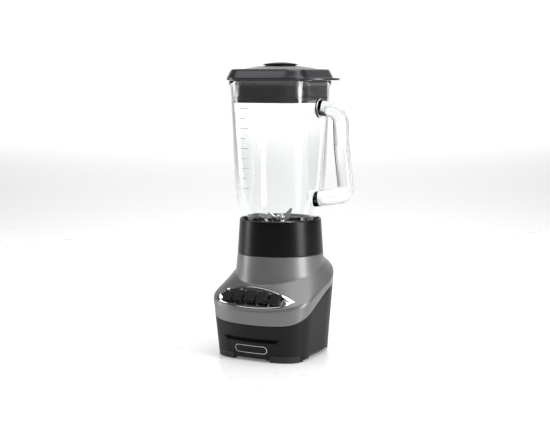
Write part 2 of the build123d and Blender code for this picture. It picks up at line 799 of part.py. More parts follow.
# each blade is a sheet strip, flat at the hub and bent up or down towards its two points
for name, bottom, reach, rise, turn in (
    ("lower_blade", lower_blade_bottom, 31, -9, 0),
    ("upper_blade", upper_blade_bottom, 27, 13, 90),
):
    with BuildPart() as blade:
        with BuildSketch(Plane.XZ):
            with BuildLine():
                Polyline(
                    (-reach, bottom + rise), (-bend_start, bottom), (bend_start, bottom),
                    (reach, bottom + rise), (reach, bottom + rise + blade_thickness),
                    (bend_start - 0.4, bottom + blade_thickness),
                    (0.4 - bend_start, bottom + blade_thickness),
                    (-reach, bottom + rise + blade_thickness),
                    close=True,
                )
            make_face()
        extrude(amount=9, both=True)
        with BuildSketch(Plane.XY.offset(bottom - 20)):
            with BuildLine():
                Polyline(
                    (-reach, 4), (-bend_start, 7.5), (0, 7.5), (bend_start, 7.5), (reach, -1),
                    (reach, -4), (bend_start, -7.5), (0, -7.5), (-bend_start, -7.5), (-reach, 1),
                    close=True,
                )
            make_face()
        extrude(amount=60, mode=Mode.INTERSECT)
        Cylinder(shaft_radius, 600, mode=Mode.SUBTRACT)
    with BuildPart() as turned_blade:
        add(blade.part, rotation=(0, 0, turn))
    turned_blade.part.label = name
    export_step(turned_blade.part, f"parts/{name}.step")

with BuildPart() as blade_washers:
    for bottom, top in (
        (carrier_hub_top + 2.3, lower_blade_bottom),
        (lower_blade_bottom + blade_thickness, upper_blade_bottom),
    ):
        with Locations((0, 0, bottom)):
            Cylinder(7, top - bottom, align=BOTTOM)
    Cylinder(shaft_radius, 600, mode=Mode.SUBTRACT)
blade_washers.part.label = "blade_washers"
export_step(blade_washers.part, "parts/blade_washers.step")

with BuildPart() as blade_nut:
    with BuildSketch(Plane.XY.offset(upper_blade_bottom + blade_thickness)):
        RegularPolygon(6.5, 6)
    extrude(amount=5)
    with Locations((0, 0, upper_blade_bottom + blade_thickness + 4)):
        Sphere(5.4)
    add(blade_shaft.part, mode=Mode.SUBTRACT)
blade_nut.part.label = "blade_nut"
export_step(blade_nut.part, "parts/blade_nut.step")

# ==== Jar ======================================================================================
# height, half side and corner radius of the jar's outside, from its round foot to its rim
jar_stations = (
    (176.0, 46.2, 45.7),
    (183.0, 50.0, 49.0),
    (198.0, 52.8, 44.0),
    (215.0, 54.0, 40.0),
    (271.0, 55.5, 35.0),
    (333.0, 57.5, 33.0),
    (jar_rim, 58.6, 32.0),
)


def jar_shape(inset):
    """Jar's outside drawn in by an inset, round at the foot and square with round corners above."""
    sections = []
    for height, half_side, corner in jar_stations:
        with BuildSketch(Plane.XY.offset(height)) as section:
            RectangleRounded(2 * (half_side - inset), 2 * (half_side - inset), corner - inset)
        sections.append(section.sketch.face())
    with BuildPart() as shape:
        loft(sections=sections, ruled=True)
    return shape.part


with BuildPart() as glass_jar:
    add(jar_shape(0))
    # handle: a bar that leaves the wall under the rim, turns down into the grip and comes back
    with BuildLine(Plane.XZ):
        handle_path = FilletPolyline(
            (52, 326), (88, 324.5), (90, 277), (97.5, 214), (50, 206.5), radius=[19, 100, 13]
        )
    with BuildSketch(Plane(origin=handle_path @ 0, z_dir=handle_path % 0)):
        Ellipse(handle_radius - 1, handle_radius)
    sweep(path=handle_path)
    with Locations(Location((52, 0, 326), (0, 90, 0))):
        Cylinder(handle_root_radius, 8, align=BOTTOM)
    with Locations((0, 0, jar_foot)):
        Cylinder(jar_neck_radius, neck_height, align=BOTTOM)
    with Locations((0, 0, jar_foot + 4), (0, 0, jar_foot + 9)):
        Cylinder(jar_neck_radius + bead_proud, 2, align=BOTTOM)
    add(jar_shape(glass), mode=Mode.SUBTRACT)
    with Locations((0, 0, jar_foot)):
        Cylinder(jar_neck_radius - glass, neck_height, align=BOTTOM, mode=Mode.SUBTRACT)
glass_jar.part.label = "glass_jar"
export_step(glass_jar.part, "parts/glass_jar.step")

# ==== Lid ======================================================================================
with BuildPart() as lid:
    with BuildSketch(Plane.XY.offset(lid_bottom)):
        RectangleRounded(2 * lid_half, 2 * lid_half, lid_corner)
    extrude(amount=lid_band_top - lid_bottom)
    with BuildSketch(Plane.XY.offset(lid_band_top)):
        RectangleRounded(2 * lid_half, 2 * lid_half, lid_corner)
    extrude(amount=lid_edge_top - lid_band_top, taper=lid_slope)
    fillet(lid.faces().sort_by(Axis.Z)[-1].edges(), 2)
    # domed crown with a seat for the cap
    with BuildSketch(Plane.XZ):
        with BuildLine():
            crown_line = Polyline(
                (crown_radius, lid_edge_top), (crown_radius, lid_edge_top - 2),
                (0, lid_edge_top - 2), (0, crown_top),
            )
            RadiusArc(crown_line @ 1, crown_line @ 0, crown_sphere)
        make_face()
    revolve(axis=Axis.Z)
    # thumb tab over the handle
    with BuildSketch(Plane.XY.offset(lid_bottom)):
        with Locations((tab_centre, 0)):
            Circle(tab_radius)
        with Locations((-100, 0)):
            Rectangle(240, 300, mode=Mode.SUBTRACT)
    extrude(amount=tab_thickness)
    # hollow underside
    with BuildSketch(Plane.XY.offset(lid_bottom)):
        RectangleRounded(2 * skirt_half - 2 * lid_wall, 2 * skirt_half - 2 * lid_wall, 25)
    extrude(amount=lid_edge_top - 2 * lid_wall - lid_bottom, mode=Mode.SUBTRACT)
    # skirt that plugs the jar, with a seat for the gasket
    with BuildSketch(Plane.XY.offset(gasket_top)):
        RectangleRounded(2 * skirt_half, 2 * skirt_half, skirt_corner)
        RectangleRounded(
            2 * (skirt_half - lid_wall), 2 * (skirt_half - lid_wall), 25, mode=Mode.SUBTRACT
        )
    extrude(amount=lid_bottom - gasket_top)
    with BuildSketch(Plane.XY.offset(skirt_bottom_height)):
        RectangleRounded(2 * skirt_half - 4, 2 * skirt_half - 4, skirt_corner - 2)
        RectangleRounded(
            2 * (skirt_half - lid_wall), 2 * (skirt_half - lid_wall), 25, mode=Mode.SUBTRACT
        )
    extrude(amount=gasket_top - skirt_bottom_height)
    with Locations((0, 0, 300)):
        Cylinder(cap_plug_radius + body_gap, 100, align=BOTTOM, mode=Mode.SUBTRACT)
lid.part.label = "lid"
export_step(lid.part, "parts/lid.step")

with BuildPart() as lid_gasket:
    with BuildSketch(Plane.XY.offset(skirt_bottom_height)):
        RectangleRounded(2 * gasket_half, 2 * gasket_half, skirt_corner + 1)
        RectangleRounded(2 * skirt_half - 4, 2 * skirt_half - 4, skirt_corner - 2,
                         mode=Mode.SUBTRACT)
    extrude(amount=gasket_top - skirt_bottom_height)
lid_gasket.part.label = "lid_gasket"
export_step(lid_gasket.part, "parts/lid_gasket.step")

with BuildPart() as measuring_cap:
    with BuildSketch(Plane.XZ):
        with BuildLine():
            cap_line = Polyline(
                (cap_radius, cap_seat + 1), (cap_radius, cap_seat), (0, cap_seat), (0, cap_top)
            )
            RadiusArc(cap_line @ 1, cap_line @ 0, cap_sphere)
        make_face()
    revolve(axis=Axis.Z)
    with Locations((0, 0, cap_bottom)):
        Cylinder(cap_plug_radius, cap_seat - cap_bottom, align=BOTTOM)
        Cylinder(cap_plug_radius - 2.2, cap_seat - cap_bottom, align=BOTTOM, mode=Mode.SUBTRACT)
measuring_cap.part.label = "measuring_cap"
export_step(measuring_cap.part, "parts/measuring_cap.step")
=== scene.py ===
import json
import math

import bmesh
import bpy
import numpy as np
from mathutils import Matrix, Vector
from mathutils.bvhtree import BVHTree


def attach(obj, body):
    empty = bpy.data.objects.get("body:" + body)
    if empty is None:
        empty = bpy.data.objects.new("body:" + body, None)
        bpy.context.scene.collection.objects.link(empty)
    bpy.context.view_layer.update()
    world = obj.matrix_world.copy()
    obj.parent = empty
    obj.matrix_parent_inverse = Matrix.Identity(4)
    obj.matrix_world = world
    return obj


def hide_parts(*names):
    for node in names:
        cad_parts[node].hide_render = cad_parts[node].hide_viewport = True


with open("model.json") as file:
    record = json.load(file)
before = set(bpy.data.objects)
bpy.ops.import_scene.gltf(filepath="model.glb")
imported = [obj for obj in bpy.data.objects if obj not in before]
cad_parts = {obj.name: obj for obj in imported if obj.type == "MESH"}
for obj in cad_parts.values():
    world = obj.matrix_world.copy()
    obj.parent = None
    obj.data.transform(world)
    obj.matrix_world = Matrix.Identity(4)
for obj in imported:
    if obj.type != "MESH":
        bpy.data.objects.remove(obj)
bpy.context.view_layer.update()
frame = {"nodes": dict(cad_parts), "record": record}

MM = 0.001

# ==== Design values shared with the CAD model, in millimetres ==================================
wall = 3.0
skirt_bottom = 2.5
foot_outline = dict(half_width=63.5, front=80.5, side=45.0, corner=31.0)
crease_outline = dict(half_width=72.5, front=93.6, side=48.0, corner=38.0)
crease_height, crease_tilt = 99.0, math.radians(19.1)
shoulder_height, shoulder_tilt, shoulder_radius = 117.75, math.radians(14.9), 58.0
neck_low, neck_low_radius = 96.0, 61.2
neck_top, neck_top_radius = 133.6, 57.6
deck_top, deck_thickness, recess_radius = 118.0, 4.0, 54.4
panel_slope = math.radians(48.0)
panel_centre = (0.0, -74.5, 83.5)
key_travel_axis = Vector((0, -math.sin(panel_slope), math.cos(panel_slope)))
COLUMNS = 288                 # points round each shell

slot_low, slot_high = 26, 31  # shadow slot above the badge
slot_half_width, slot_splay, slot_depth = 36, 0.8, 2.7
plate_half_width, plate_splay, plate_depth = 30, 0.25, 0.8
foot_blocks = ((44, -66), (40, 50))
foot_half_length, foot_half_depth, foot_height = 17, 15, 9.2
arch_rise = 4.5
cover_bottom, flange_top, flange_width = 6.1, 9.5, 13

jar_foot, jar_rim, jar_wall = 159.5, 361.7, 4.5
root_height = 326.0           # the handle's upper end on the jar
crown_height, crown_radius = 382.0, 230.0
cap_height, cap_radius = 385.5, 110.0
collar_foot, collar_top = 133.9, 179.4
collar_foot_radius, collar_top_radius = 57.5, 54.4
key_centres = (-37.8, -20.4, -3.0, 14.4, 31.8)
key_half_width, key_half_height = 7.3, 7.75
badge_height = 16
view_azimuth = math.radians(28.5)


# ==== Mesh helpers =============================================================================
def surface_tree(obj):
    """Search tree of a piece's surface."""
    mesh = bmesh.new()
    mesh.from_mesh(obj.data)
    tree = BVHTree.FromBMesh(mesh)
    mesh.free()
    return tree


def smooth_by_angle(obj, degrees=35):
    """Smooth shading, with edges sharper than the angle kept crisp."""
    mesh = obj.data
    bm = bmesh.new()
    bm.from_mesh(mesh)
    for face in bm.faces:
        face.smooth = True
    for edge in bm.edges:
        if len(edge.link_faces) == 2:
            edge.smooth = edge.calc_face_angle(0) < math.radians(degrees)
    bm.to_mesh(mesh)
    bm.free()


def mesh_object(name, points, faces, sharp=35):
    """New object from points in millimetres."""
    mesh = bpy.data.meshes.new(name)
    mesh.from_pydata([(x * MM, y * MM, z * MM) for x, y, z in points], [], faces)
    mesh.validate()
    obj = bpy.data.objects.new(name, mesh)
    bpy.context.scene.collection.objects.link(obj)
    bm = bmesh.new()
    bm.from_mesh(mesh)
    bmesh.ops.recalc_face_normals(bm, faces=bm.faces)
    bm.to_mesh(mesh)
    bm.free()
    smooth_by_angle(obj, sharp)
    return obj


def loops_object(name, loops, closed=False, cap_first=False, cap_last=False, sharp=35):
    """Skin through loops of equal length. closed also joins the last loop to the first."""
    count = len(loops[0])
    points = [tuple(p) for loop in loops for p in loop]
    faces = []
    pairs = list(zip(range(len(loops)), range(1, len(loops))))
    if closed:
        pairs.append((len(loops) - 1, 0))
    for a, b in pairs:
        for i in range(count):
            j = (i + 1) % count
            faces.append((a * count + i, a * count + j, b * count + j, b * count + i))
    if cap_first:
        faces.append(tuple(range(count)))
    if cap_last:
        faces.append(tuple((len(loops) - 1) * count + i for i in range(count)))
    return mesh_object(name, points, faces, sharp)


def round_profile(points, radii, steps=6):
    """Polyline in a plane with its inner corners rounded; always gives the same point count."""
    result = [points[0]]
    for before, corner, after, radius in zip(points, points[1:], points[2:], radii):
        a = np.subtract(before, corner)
        b = np.subtract(after, corner)
        length_a, length_b = np.linalg.norm(a), np.linalg.norm(b)
        a, b = a / length_a, b / length_b
        turn = math.acos(max(-1, min(1, float(a @ b))))
        reach = min(radius / max(math.tan(turn / 2), 1e-3), 0.49 * length_a, 0.49 * length_b)
        start, end = corner + a * reach, corner + b * reach
        weight = math.sin(turn / 2)
        for step in range(steps + 1):
            t = step / steps
            shares = ((1 - t) ** 2, 2 * t * (1 - t) * weight, t**2)
            point = shares[0] * start + shares[1] * np.array(corner) + shares[2] * end
            result.append(tuple(point / sum(shares)))
    result.append(points[-1])
    return result


def densify(profile, longest):
    """Extra points on long straight stretches; the count depends on the stretch lengths."""
    result = [profile[0]]
    for a, b in zip(profile, profile[1:]):
        pieces = max(1, round(math.dist(a, b) / longest))
        for i in range(1, pieces + 1):
            t = i / pieces
            result.append(tuple(np.array(a) * (1 - t) + np.array(b) * t))
    return result


def lathe(name, profile, columns=160, closed=True, sharp=35):
    """Solid of revolution from (radius, height) points."""
    loops = []
    for radius, height in profile:
        angles = [2 * math.pi * i / columns for i in range(columns)]
        loops.append([(radius * math.cos(a), radius * math.sin(a), height) for a in angles])
    return loops_object(name, loops, closed=closed, sharp=sharp)


def rounded_square(half, corner, height, side_points=14, corner_points=16):
    """Loop with straight sides and round corners; corner near half makes it a circle."""
    corner = min(corner, half - 0.05)
    centre = half - corner
    loop = []
    for quarter in range(4):
        turn = quarter * math.pi / 2
        cos, sin = math.cos(turn), math.sin(turn)
        local = []
        for i in range(side_points):
            local.append((half, -centre + 2 * centre * i / side_points))
        for i in range(corner_points):
            a = math.pi / 2 * i / corner_points
            local.append((centre + corner * math.cos(a), centre + corner * math.sin(a)))
        loop += [(x * cos - y * sin, x * sin + y * cos, height) for x, y in local]
    return loop


def boolean(obj, cutter, operation="DIFFERENCE", sharp=35):
    """Applies one boolean and removes the cutter."""
    modifier = obj.modifiers.new("cut", "BOOLEAN")
    modifier.operation = operation
    modifier.object = cutter
    modifier.solver = "EXACT"
    depsgraph = bpy.context.evaluated_depsgraph_get()
    mesh = bpy.data.meshes.new_from_object(obj.evaluated_get(depsgraph))
    obj.modifiers.clear()
    obj.data = mesh
    bpy.data.objects.remove(cutter)
    smooth_by_angle(obj, sharp)


# ==== Base outline =============================================================================
def outline_points(half_width, front, side, corner):
    """Dense plan points: round rear, straight sides, round front corners, bowed front."""
    corner_x = half_width - corner
    depth = front - side
    front_radius = (corner_x**2 + depth**2 - corner**2) / (2 * (depth - corner))
    front_centre = front_radius - front
    swing = math.atan2(side + front_centre, corner_x)
    arcs = (
        ((0, 0), half_width, 0, math.pi),
        ((-corner_x, -side), corner, math.pi, swing),
        ((0, front_centre), front_radius, math.pi + swing, math.pi - 2 * swing),
        ((corner_x, -side), corner, -swing, swing),
    )
    points = []
    for (cx, cy), radius, start, span in arcs:
        for i in range(241):
            a = start + span * i / 240
            points.append((cx + radius * math.cos(a), cy + radius * math.sin(a)))
    points += [(x, -side * i / 60) for x in (-half_width, half_width) for i in range(1, 60)]
    return np.array(points)


def polar_radius(points, angles):
    """Distance from the drive axis to an outline in each direction."""
    direction = np.unwrap(np.arctan2(points[:, 1], points[:, 0]))
    order = np.argsort(direction)
    direction, radius = direction[order], np.hypot(points[:, 0], points[:, 1])[order]
    return np.interp(angles, direction, radius, period=2 * math.pi)


def inset_outline(outline, inset):
    """The outline's dimensions drawn in by an inset."""
    return dict(
        half_width=outline["half_width"] - inset, front=outline["front"] - inset,
        side=outline["side"], corner=outline["corner"] - inset,
    )


def base_radii(inset):
    """For each column: foot radius, crease radius and height, shoulder radius and height."""
    angles = np.arange(COLUMNS) * 2 * math.pi / COLUMNS
    foot = polar_radius(outline_points(**inset_outline(foot_outline, inset)), angles)
    crease = outline_points(**inset_outline(crease_outline, inset))
    crease[:, 1] *= math.cos(crease_tilt)
    crease_r = polar_radius(crease, angles)
    crease_z = crease_height - inset / 2 + crease_r * np.sin(angles) * math.tan(crease_tilt)
    circle = np.stack([np.cos(angles), np.sin(angles) * math.cos(shoulder_tilt)], 1)
    shoulder_r = polar_radius(circle * (shoulder_radius - inset), angles)
    shoulder_z = (
        shoulder_height - inset / 2 + shoulder_r * np.sin(angles) * math.tan(shoulder_tilt)
    )
    return angles, foot, crease_r, crease_z, shoulder_r, shoulder_z


parting_line = np.array(
    round_profile(((-110, 48.5), (-76.8, 48.5), (3.4, 91.0), (110, 98.5)), (40, 90), 16)
)


def parting_height(y):
    """Height of the line between hood and body: level, a slope, then a gentle rise."""
    return float(np.interp(y, parting_line[:, 0], parting_line[:, 1]))


def neck_radius(height, inset=0.0):
    """Radius of the conical neck at a height."""
    t = (height - neck_low) / (neck_top - neck_low)
    return neck_low_radius + (neck_top_radius - neck_low_radius) * t - inset


def meet_neck(r1, z1, r2, z2, inset):
    """Where the shoulder line from the crease meets the neck."""
    t = 0.5
    for _ in range(20):
        z = z1 + (z2 - z1) * t
        t = (neck_radius(z, inset) - r1) / (r2 - r1)
    return r1 + (r2 - r1) * t, z1 + (z2 - z1) * t


def side_point(foot_r, crease_r, crease_z, angle, lift=0.0):
    """Point where a column's side reaches the parting line, moved up by a lift."""
    height = 60.0
    for _ in range(30):
        radius = foot_r + (crease_r - foot_r) * height / crease_z
        height = parting_height(radius * math.sin(angle)) + lift
    return radius, height


def spin(profile, angle):
    """Turns (radius, height) points into space at a column's angle."""
    return [(r * math.cos(angle), r * math.sin(angle), z) for r, z in profile]


# ==== Base pieces ==============================================================================
def make_hood():
    """Grey upper housing: sides, shoulder, neck and deck, with an even lining below them."""
    outer = base_radii(0)
    inner = base_radii(wall)
    columns = []
    for i, angle in enumerate(outer[0]):
        foot_r, crease_r, crease_z, shoulder_r, shoulder_z = (values[i] for values in outer[1:])
        start = side_point(foot_r, crease_r, crease_z, angle, 0.25)
        meet = meet_neck(crease_r, crease_z, shoulder_r, shoulder_z, 0)
        skin = round_profile(
            [(start[0] - 0.5, start[1]), start, (crease_r, crease_z), meet,
             (neck_radius(neck_top), neck_top), (recess_radius, neck_top),
             (recess_radius, deck_top), (7, deck_top)],
            (0.5, 7, 6, 1.2, 0.8, 2.0), 7,
        )
        foot_r, crease_r, crease_z, shoulder_r, shoulder_z = (values[i] for values in inner[1:])
        end = side_point(foot_r, crease_r, crease_z, angle, 0.25)
        meet = meet_neck(crease_r, crease_z, shoulder_r, shoulder_z, wall)
        under = deck_top - deck_thickness
        lining = round_profile(
            [(7, under), (neck_radius(under, wall), under), (meet[0], min(meet[1], under - 1)),
             (crease_r, crease_z), end],
            (1, 4, 5), 4,
        )
        columns.append(spin(densify_fixed(skin) + lining, angle))
    loops = [list(row) for row in zip(*columns)]
    return loops_object("hood_shell", loops, closed=True, sharp=30)


def densify_fixed(profile, pieces=3):
    """Splits every stretch into the same number of pieces, so that columns keep in step."""
    result = [profile[0]]
    for a, b in zip(profile, profile[1:]):
        for i in range(1, pieces + 1):
            t = i / pieces
            result.append((a[0] + (b[0] - a[0]) * t, a[1] + (b[1] - a[1]) * t))
    return result


def make_body():
    """Black lower housing: shadow slot with painted shade on its floor, and shallow plate in front,
    arches between the feet.
    """
    outer = base_radii(0)
    inner = base_radii(wall)
    levels = [10.5, 14, 18, 22, 25.6, 26.2, 26.9, 28, 30.4, 30.9, 31.1, 31.8, 34]
    columns = []
    for i, angle in enumerate(outer[0]):
        foot_r, crease_r, crease_z = outer[1][i], outer[2][i], outer[3][i]
        lean = (crease_r - foot_r) / crease_z
        top_r, top_z = side_point(foot_r, crease_r, crease_z, angle, -0.25)
        low = arch_height(foot_r * math.cos(angle), foot_r * math.sin(angle))
        heights = [low + 0.25, low + 0.8] + levels
        heights += [34 + (top_z - 0.5 - 34) * (row + 1) / 12 for row in range(12)]
        profile = [(foot_r - wall, low), (foot_r - 1.0, low), (foot_r - 0.3, low)]
        for height in heights:
            radius = foot_r + lean * height
            if math.sin(angle) < 0:
                radius -= front_relief(radius * math.cos(angle), height)
            profile.append((radius, height))
        profile += [(top_r - 0.15, top_z - 0.12), (top_r - 0.6, top_z)]
        foot_r, crease_r, crease_z = inner[1][i], inner[2][i], inner[3][i]
        profile.append(side_point(foot_r, crease_r, crease_z, angle, -0.25))
        end_z = profile[-1][1]
        for row in range(5):
            height = end_z + (flange_top - end_z) * (row + 1) / 5
            profile.append((foot_r + (crease_r - foot_r) * height / crease_z, height))
        seat = min(foot_height, max(cover_bottom, low))
        edge = foot_r - flange_width
        profile += [(edge, flange_top), (edge, seat), (foot_r, seat)]
        columns.append(spin(profile, angle))
    loops = [list(row) for row in zip(*columns)]
    body = loops_object("body_shell", loops, closed=True, sharp=32)
    body.data.materials.append(materials["black_body"])
    body.data.materials.append(materials["slot_painted_shade"])
    # the floor of the shadow slot gets a near-black matt material: painted shade standing in for the
    # shadow under the overhang
    for face in body.data.polygons:
        x, y, z = face.center / MM
        outside = math.hypot(x, y) > foot_outline["half_width"] - 5
        level = slot_low + 0.3 < z < slot_high + 0.05
        forward = y < 0 and abs(face.normal.y) > 0.5
        if outside and forward and level and abs(x) < slot_half(z):
            face.material_index = 1
    return body


def arch_height(x, y):
    """Height of the skirt's lower edge: arched between the feet, and above them at the feet."""
    for foot_x, foot_y in foot_blocks:
        if abs(abs(x) - foot_x) < foot_half_length and abs(y - foot_y) < foot_half_depth:
            return foot_height
    front = arch_rise * (1 - smooth_step(21, 23, abs(x))) if abs(y) > 50 else 0.0
    side = arch_rise * smooth_step(-41, -38, y) * (1 - smooth_step(22, 25, y))
    return max(front, skirt_bottom) + side


def slot_half(height):
    """Half the slot's width at a height; its ends splay upward."""
    return slot_half_width + slot_splay * (height - slot_low)


def front_relief(x, height):
    """Depth below the plain front: the shadow slot, and the plate between it and the feet."""
    half = slot_half(height)
    slot = 1 - smooth_step(half - 1.5, half + 1.5, abs(x)) if slot_low < height < slot_high else 0
    return max(slot_depth * slot, niche_depth(x, height))


def smooth_step(low, high, value):
    """Rises smoothly from 0 at low to 1 at high."""
    t = max(0.0, min(1.0, (value - low) / (high - low)))
    return t * t * (3 - 2 * t)


def niche_depth(x, height):
    """Depth of the shallow niche under the slot; its sides splay towards the feet."""
    half = plate_half_width + plate_splay * height
    across = 1 - smooth_step(half - 2, half + 2, abs(x))
    upward = 1 - smooth_step(27, 29, height)
    return plate_depth * across * upward


# ==== Square jar and lid loops =================================================================
def square_radii(half, corner, columns=COLUMNS):
    """Distance from the axis to a round-cornered square in each direction."""
    points = np.array(rounded_square(half, corner, 0, 160, 120))[:, :2]
    return polar_radius(points, np.arange(columns) * 2 * math.pi / columns)


def ring(radii, height):
    """Loop from one radius, or one for each column, at a height."""
    angles = np.arange(COLUMNS) * 2 * math.pi / COLUMNS
    radii = np.broadcast_to(radii, angles.shape)
    return [(r * math.cos(a), r * math.sin(a), height) for r, a in zip(radii, angles)]


jar_stations = (
    (176.0, 46.2, 45.7), (183.0, 50.0, 49.0), (198.0, 52.8, 44.0), (215.0, 54.0, 40.0),
    (271.0, 55.5, 35.0), (333.0, 57.5, 33.0), (361.7, 58.6, 32.0),
)


def jar_section(height, inset):
    """Radii of the jar's section at a height."""
    heights, halves, corners = zip(*jar_stations)
    half = smooth_line(height, heights, halves) - inset
    corner = smooth_line(height, heights, corners) - inset
    return square_radii(half, min(corner, half - 0.1))


def smooth_line(x, xs, ys):
    """Smooth curve through points, without overshoot."""
    xs, ys = np.array(xs, float), np.array(ys, float)
    steps = np.diff(ys) / np.diff(xs)
    slopes = np.concatenate([[steps[0]], (steps[:-1] + steps[1:]) / 2, [steps[-1]]])
    i = int(np.clip(np.searchsorted(xs, x) - 1, 0, len(xs) - 2))
    gap = xs[i + 1] - xs[i]
    t = min(max((x - xs[i]) / gap, 0), 1)
    a, b = t**3 - 2 * t**2 + t, t**3 - t**2
    keep = 2 * t**3 - 3 * t**2
    return ys[i] * (1 + keep) - ys[i + 1] * keep + gap * (a * slopes[i] + b * slopes[i + 1])


def make_jar():
    """Glass jar with its neck, bar handle and the ring at the handle's upper root."""
    loops = []
    for radius, height in (
        (42.9, jar_foot), (43.7, 159.8), (44, 160.4), (44, 163.2), (44.9, 163.7), (45.3, 164.5),
        (44.9, 165.3), (44, 165.8), (44, 168.2), (44.9, 168.7), (45.3, 169.5), (44.9, 170.3),
        (44, 170.8), (44, 173.5), (44.4, 175),
    ):
        loops.append(ring(radius, height))
    for height in (177, 179, 181, 183, 186, 189, 193, 198, 204, 210, 217, 230, 245, 260, 275, 290,
                   305, 320, 333, 345, 354, 359.9):
        loops.append(ring(jar_section(height, 0), height))
    for drop, inset in ((1.1, 0.15), (0.5, 0.55), (0.15, 1.0), (0, 1.6)):
        loops.append(ring(jar_section(jar_rim - drop, inset), jar_rim - drop))
    jar = loops_object("glass_shell", loops, cap_first=True, cap_last=True, sharp=60)

    path = round_profile(
        [(54.2, root_height), (88, 324.5), (90, 277), (97.5, 214), (50.6, 206.6)], (19, 100, 13), 18
    )
    path = densify(path, 4)
    loops = []
    for i, (x, z) in enumerate(path):
        before, after = path[max(i - 1, 0)], path[min(i + 1, len(path) - 1)]
        tx, tz = after[0] - before[0], after[1] - before[1]
        length = math.hypot(tx, tz)
        nx, nz = -tz / length, tx / length
        loop = []
        for k in range(48):
            a = 2 * math.pi * k / 48
            loop.append((x + 10.3 * math.cos(a) * nx, 11.3 * math.sin(a), z + 10.3 * math.cos(a) * nz))
        loops.append(loop)
    handle = loops_object("handle", loops, cap_first=True, cap_last=True, sharp=60)
    boolean(jar, handle, "UNION", 60)

    loops = []
    for radius, x in ((11.0, 54.1), (12.5, 54.2), (12.5, 59.2), (12.2, 59.75), (11.5, 60)):
        angles = [2 * math.pi * k / 64 for k in range(64)]
        loops.append([(x, radius * math.cos(a), root_height + radius * math.sin(a)) for a in angles])
    boolean(jar, loops_object("root", loops, cap_first=True, cap_last=True), "UNION", 60)

    loops = [ring(39.5, 159), ring(39.5, 176.2), ring(39.9, 177.2)]
    for height in (178.6, 180.5, 183, 186, 189, 193, 198, 204, 210, 217, 230, 245, 260, 275, 290, 305,
                   320, 333, 345, 354, 360.2):
        loops.append(ring(jar_section(height, jar_wall), height))
    loops.append(ring(jar_section(361.2, 4.0), 361.2))
    loops.append(ring(jar_section(jar_rim, 3.2), jar_rim + 0.5))
    cavity = loops_object("cavity", loops, cap_first=True, cap_last=True, sharp=60)
    boolean(jar, cavity, "DIFFERENCE", 60)
    return jar


def make_marks():
    """Plain measuring lines printed on the jar's front wall, with nothing written beside them."""
    points, faces = [], []
    for i in range(9):
        height = 222 + 13 * i
        half = smooth_line(height, *list(zip(*jar_stations))[:2]) - 4.2
        length = 12 if i % 2 == 0 else 7
        left = -30
        base = len(points)
        for x in (left, left + length):
            for z in (height - 0.35, height + 0.35):
                for y in (-half, -half - 0.12):
                    points.append((x, y, z))
        faces += [tuple(base + k for k in face) for face in (
            (0, 1, 3, 2), (4, 6, 7, 5), (0, 4, 5, 1), (2, 3, 7, 6), (0, 2, 6, 4), (1, 5, 7, 3))]
    return mesh_object("jar_marks", points, faces)


def make_lid():
    """Lid with its thumb tab, domed crown, hollow underside and skirt."""
    angles = np.arange(COLUMNS) * 2 * math.pi / COLUMNS

    def edge(inset):
        return square_radii(58.9 - inset, 26 - inset)

    def skirt(inset):
        return square_radii(51.9 - inset, 27 - inset)

    def dome(radius):
        return crown_height - crown_radius + math.sqrt(crown_radius**2 - radius**2)

    tab_points = [
        (24.5 + 56.5 * math.cos(a), 56.5 * math.sin(a))
        for a in np.linspace(-math.pi, math.pi, 2000)
    ]
    tab = polar_radius(np.array(tab_points), angles)
    tab = np.where(tab * np.cos(angles) > 20, tab, 0)
    loops = [
        ring(skirt(2.5), 333.0), ring(skirt(2.0), 333.0),
        ring(skirt(2.0), 341.0), ring(skirt(0.4), 341.0),
        ring(skirt(0), 341.4), ring(skirt(0), 361.6), ring(skirt(-0.3), 361.9),
        ring(np.maximum(edge(0.7), tab - 0.6), 362.0), ring(np.maximum(edge(0.2), tab - 0.15), 362.3),
        ring(np.maximum(edge(0), tab), 362.8), ring(np.maximum(edge(0), tab), 364.0),
        ring(np.maximum(edge(0), tab - 0.25), 364.6), ring(np.maximum(edge(0), tab - 1.0), 365.0),
        ring(edge(0.15), 365.3), ring(edge(0.6), 366.0), ring(edge(2.5), 369.6), ring(edge(4.2), 372.9),
        ring(edge(5.0), 374.4), ring(edge(5.5), 375.2), ring(edge(6.3), 375.95),
        ring(edge(7.3), 376.35), ring(edge(8.3), 376.5),
    ]
    loops.append(ring(edge(8.3) * 0.4 + 0.6 * 48.5, 376.8))
    for radius in (48, 45, 41, 37, 33, 29, 26, 24, 22):
        loops.append(ring(radius, dome(radius)))
    loops += [ring(20.9, dome(20.9)), ring(20.4, dome(21) - 0.5), ring(20.3, 375.0), ring(20.6, 374.2)]
    loops += [ring(30, 374.0), ring(43, 373.6)]
    loops += [ring(skirt(4.5), 372.0), ring(skirt(2.5), 366.0), ring(skirt(2.5), 360.0)]
    return loops_object("lid_shell", loops, closed=True, sharp=32)


def make_gasket():
    """Rubber ring round the lid's skirt, with two sealing ribs."""
    inner = square_radii(49.95, 25.05)
    ribs = (
        (0.8, 333.1), (0.1, 333.6), (0, 334.6), (0, 335.6), (0.8, 336.2), (0.8, 337.2),
        (0, 337.9), (0, 339.6), (0.1, 340.4), (0.8, 340.9),
    )
    loops = [ring(inner, 333.1)]
    loops += [ring(square_radii(52.5 - inset, 28 - inset), height) for inset, height in ribs]
    loops.append(ring(inner, 340.9))
    return loops_object("lid_seal", loops, closed=True, sharp=40)


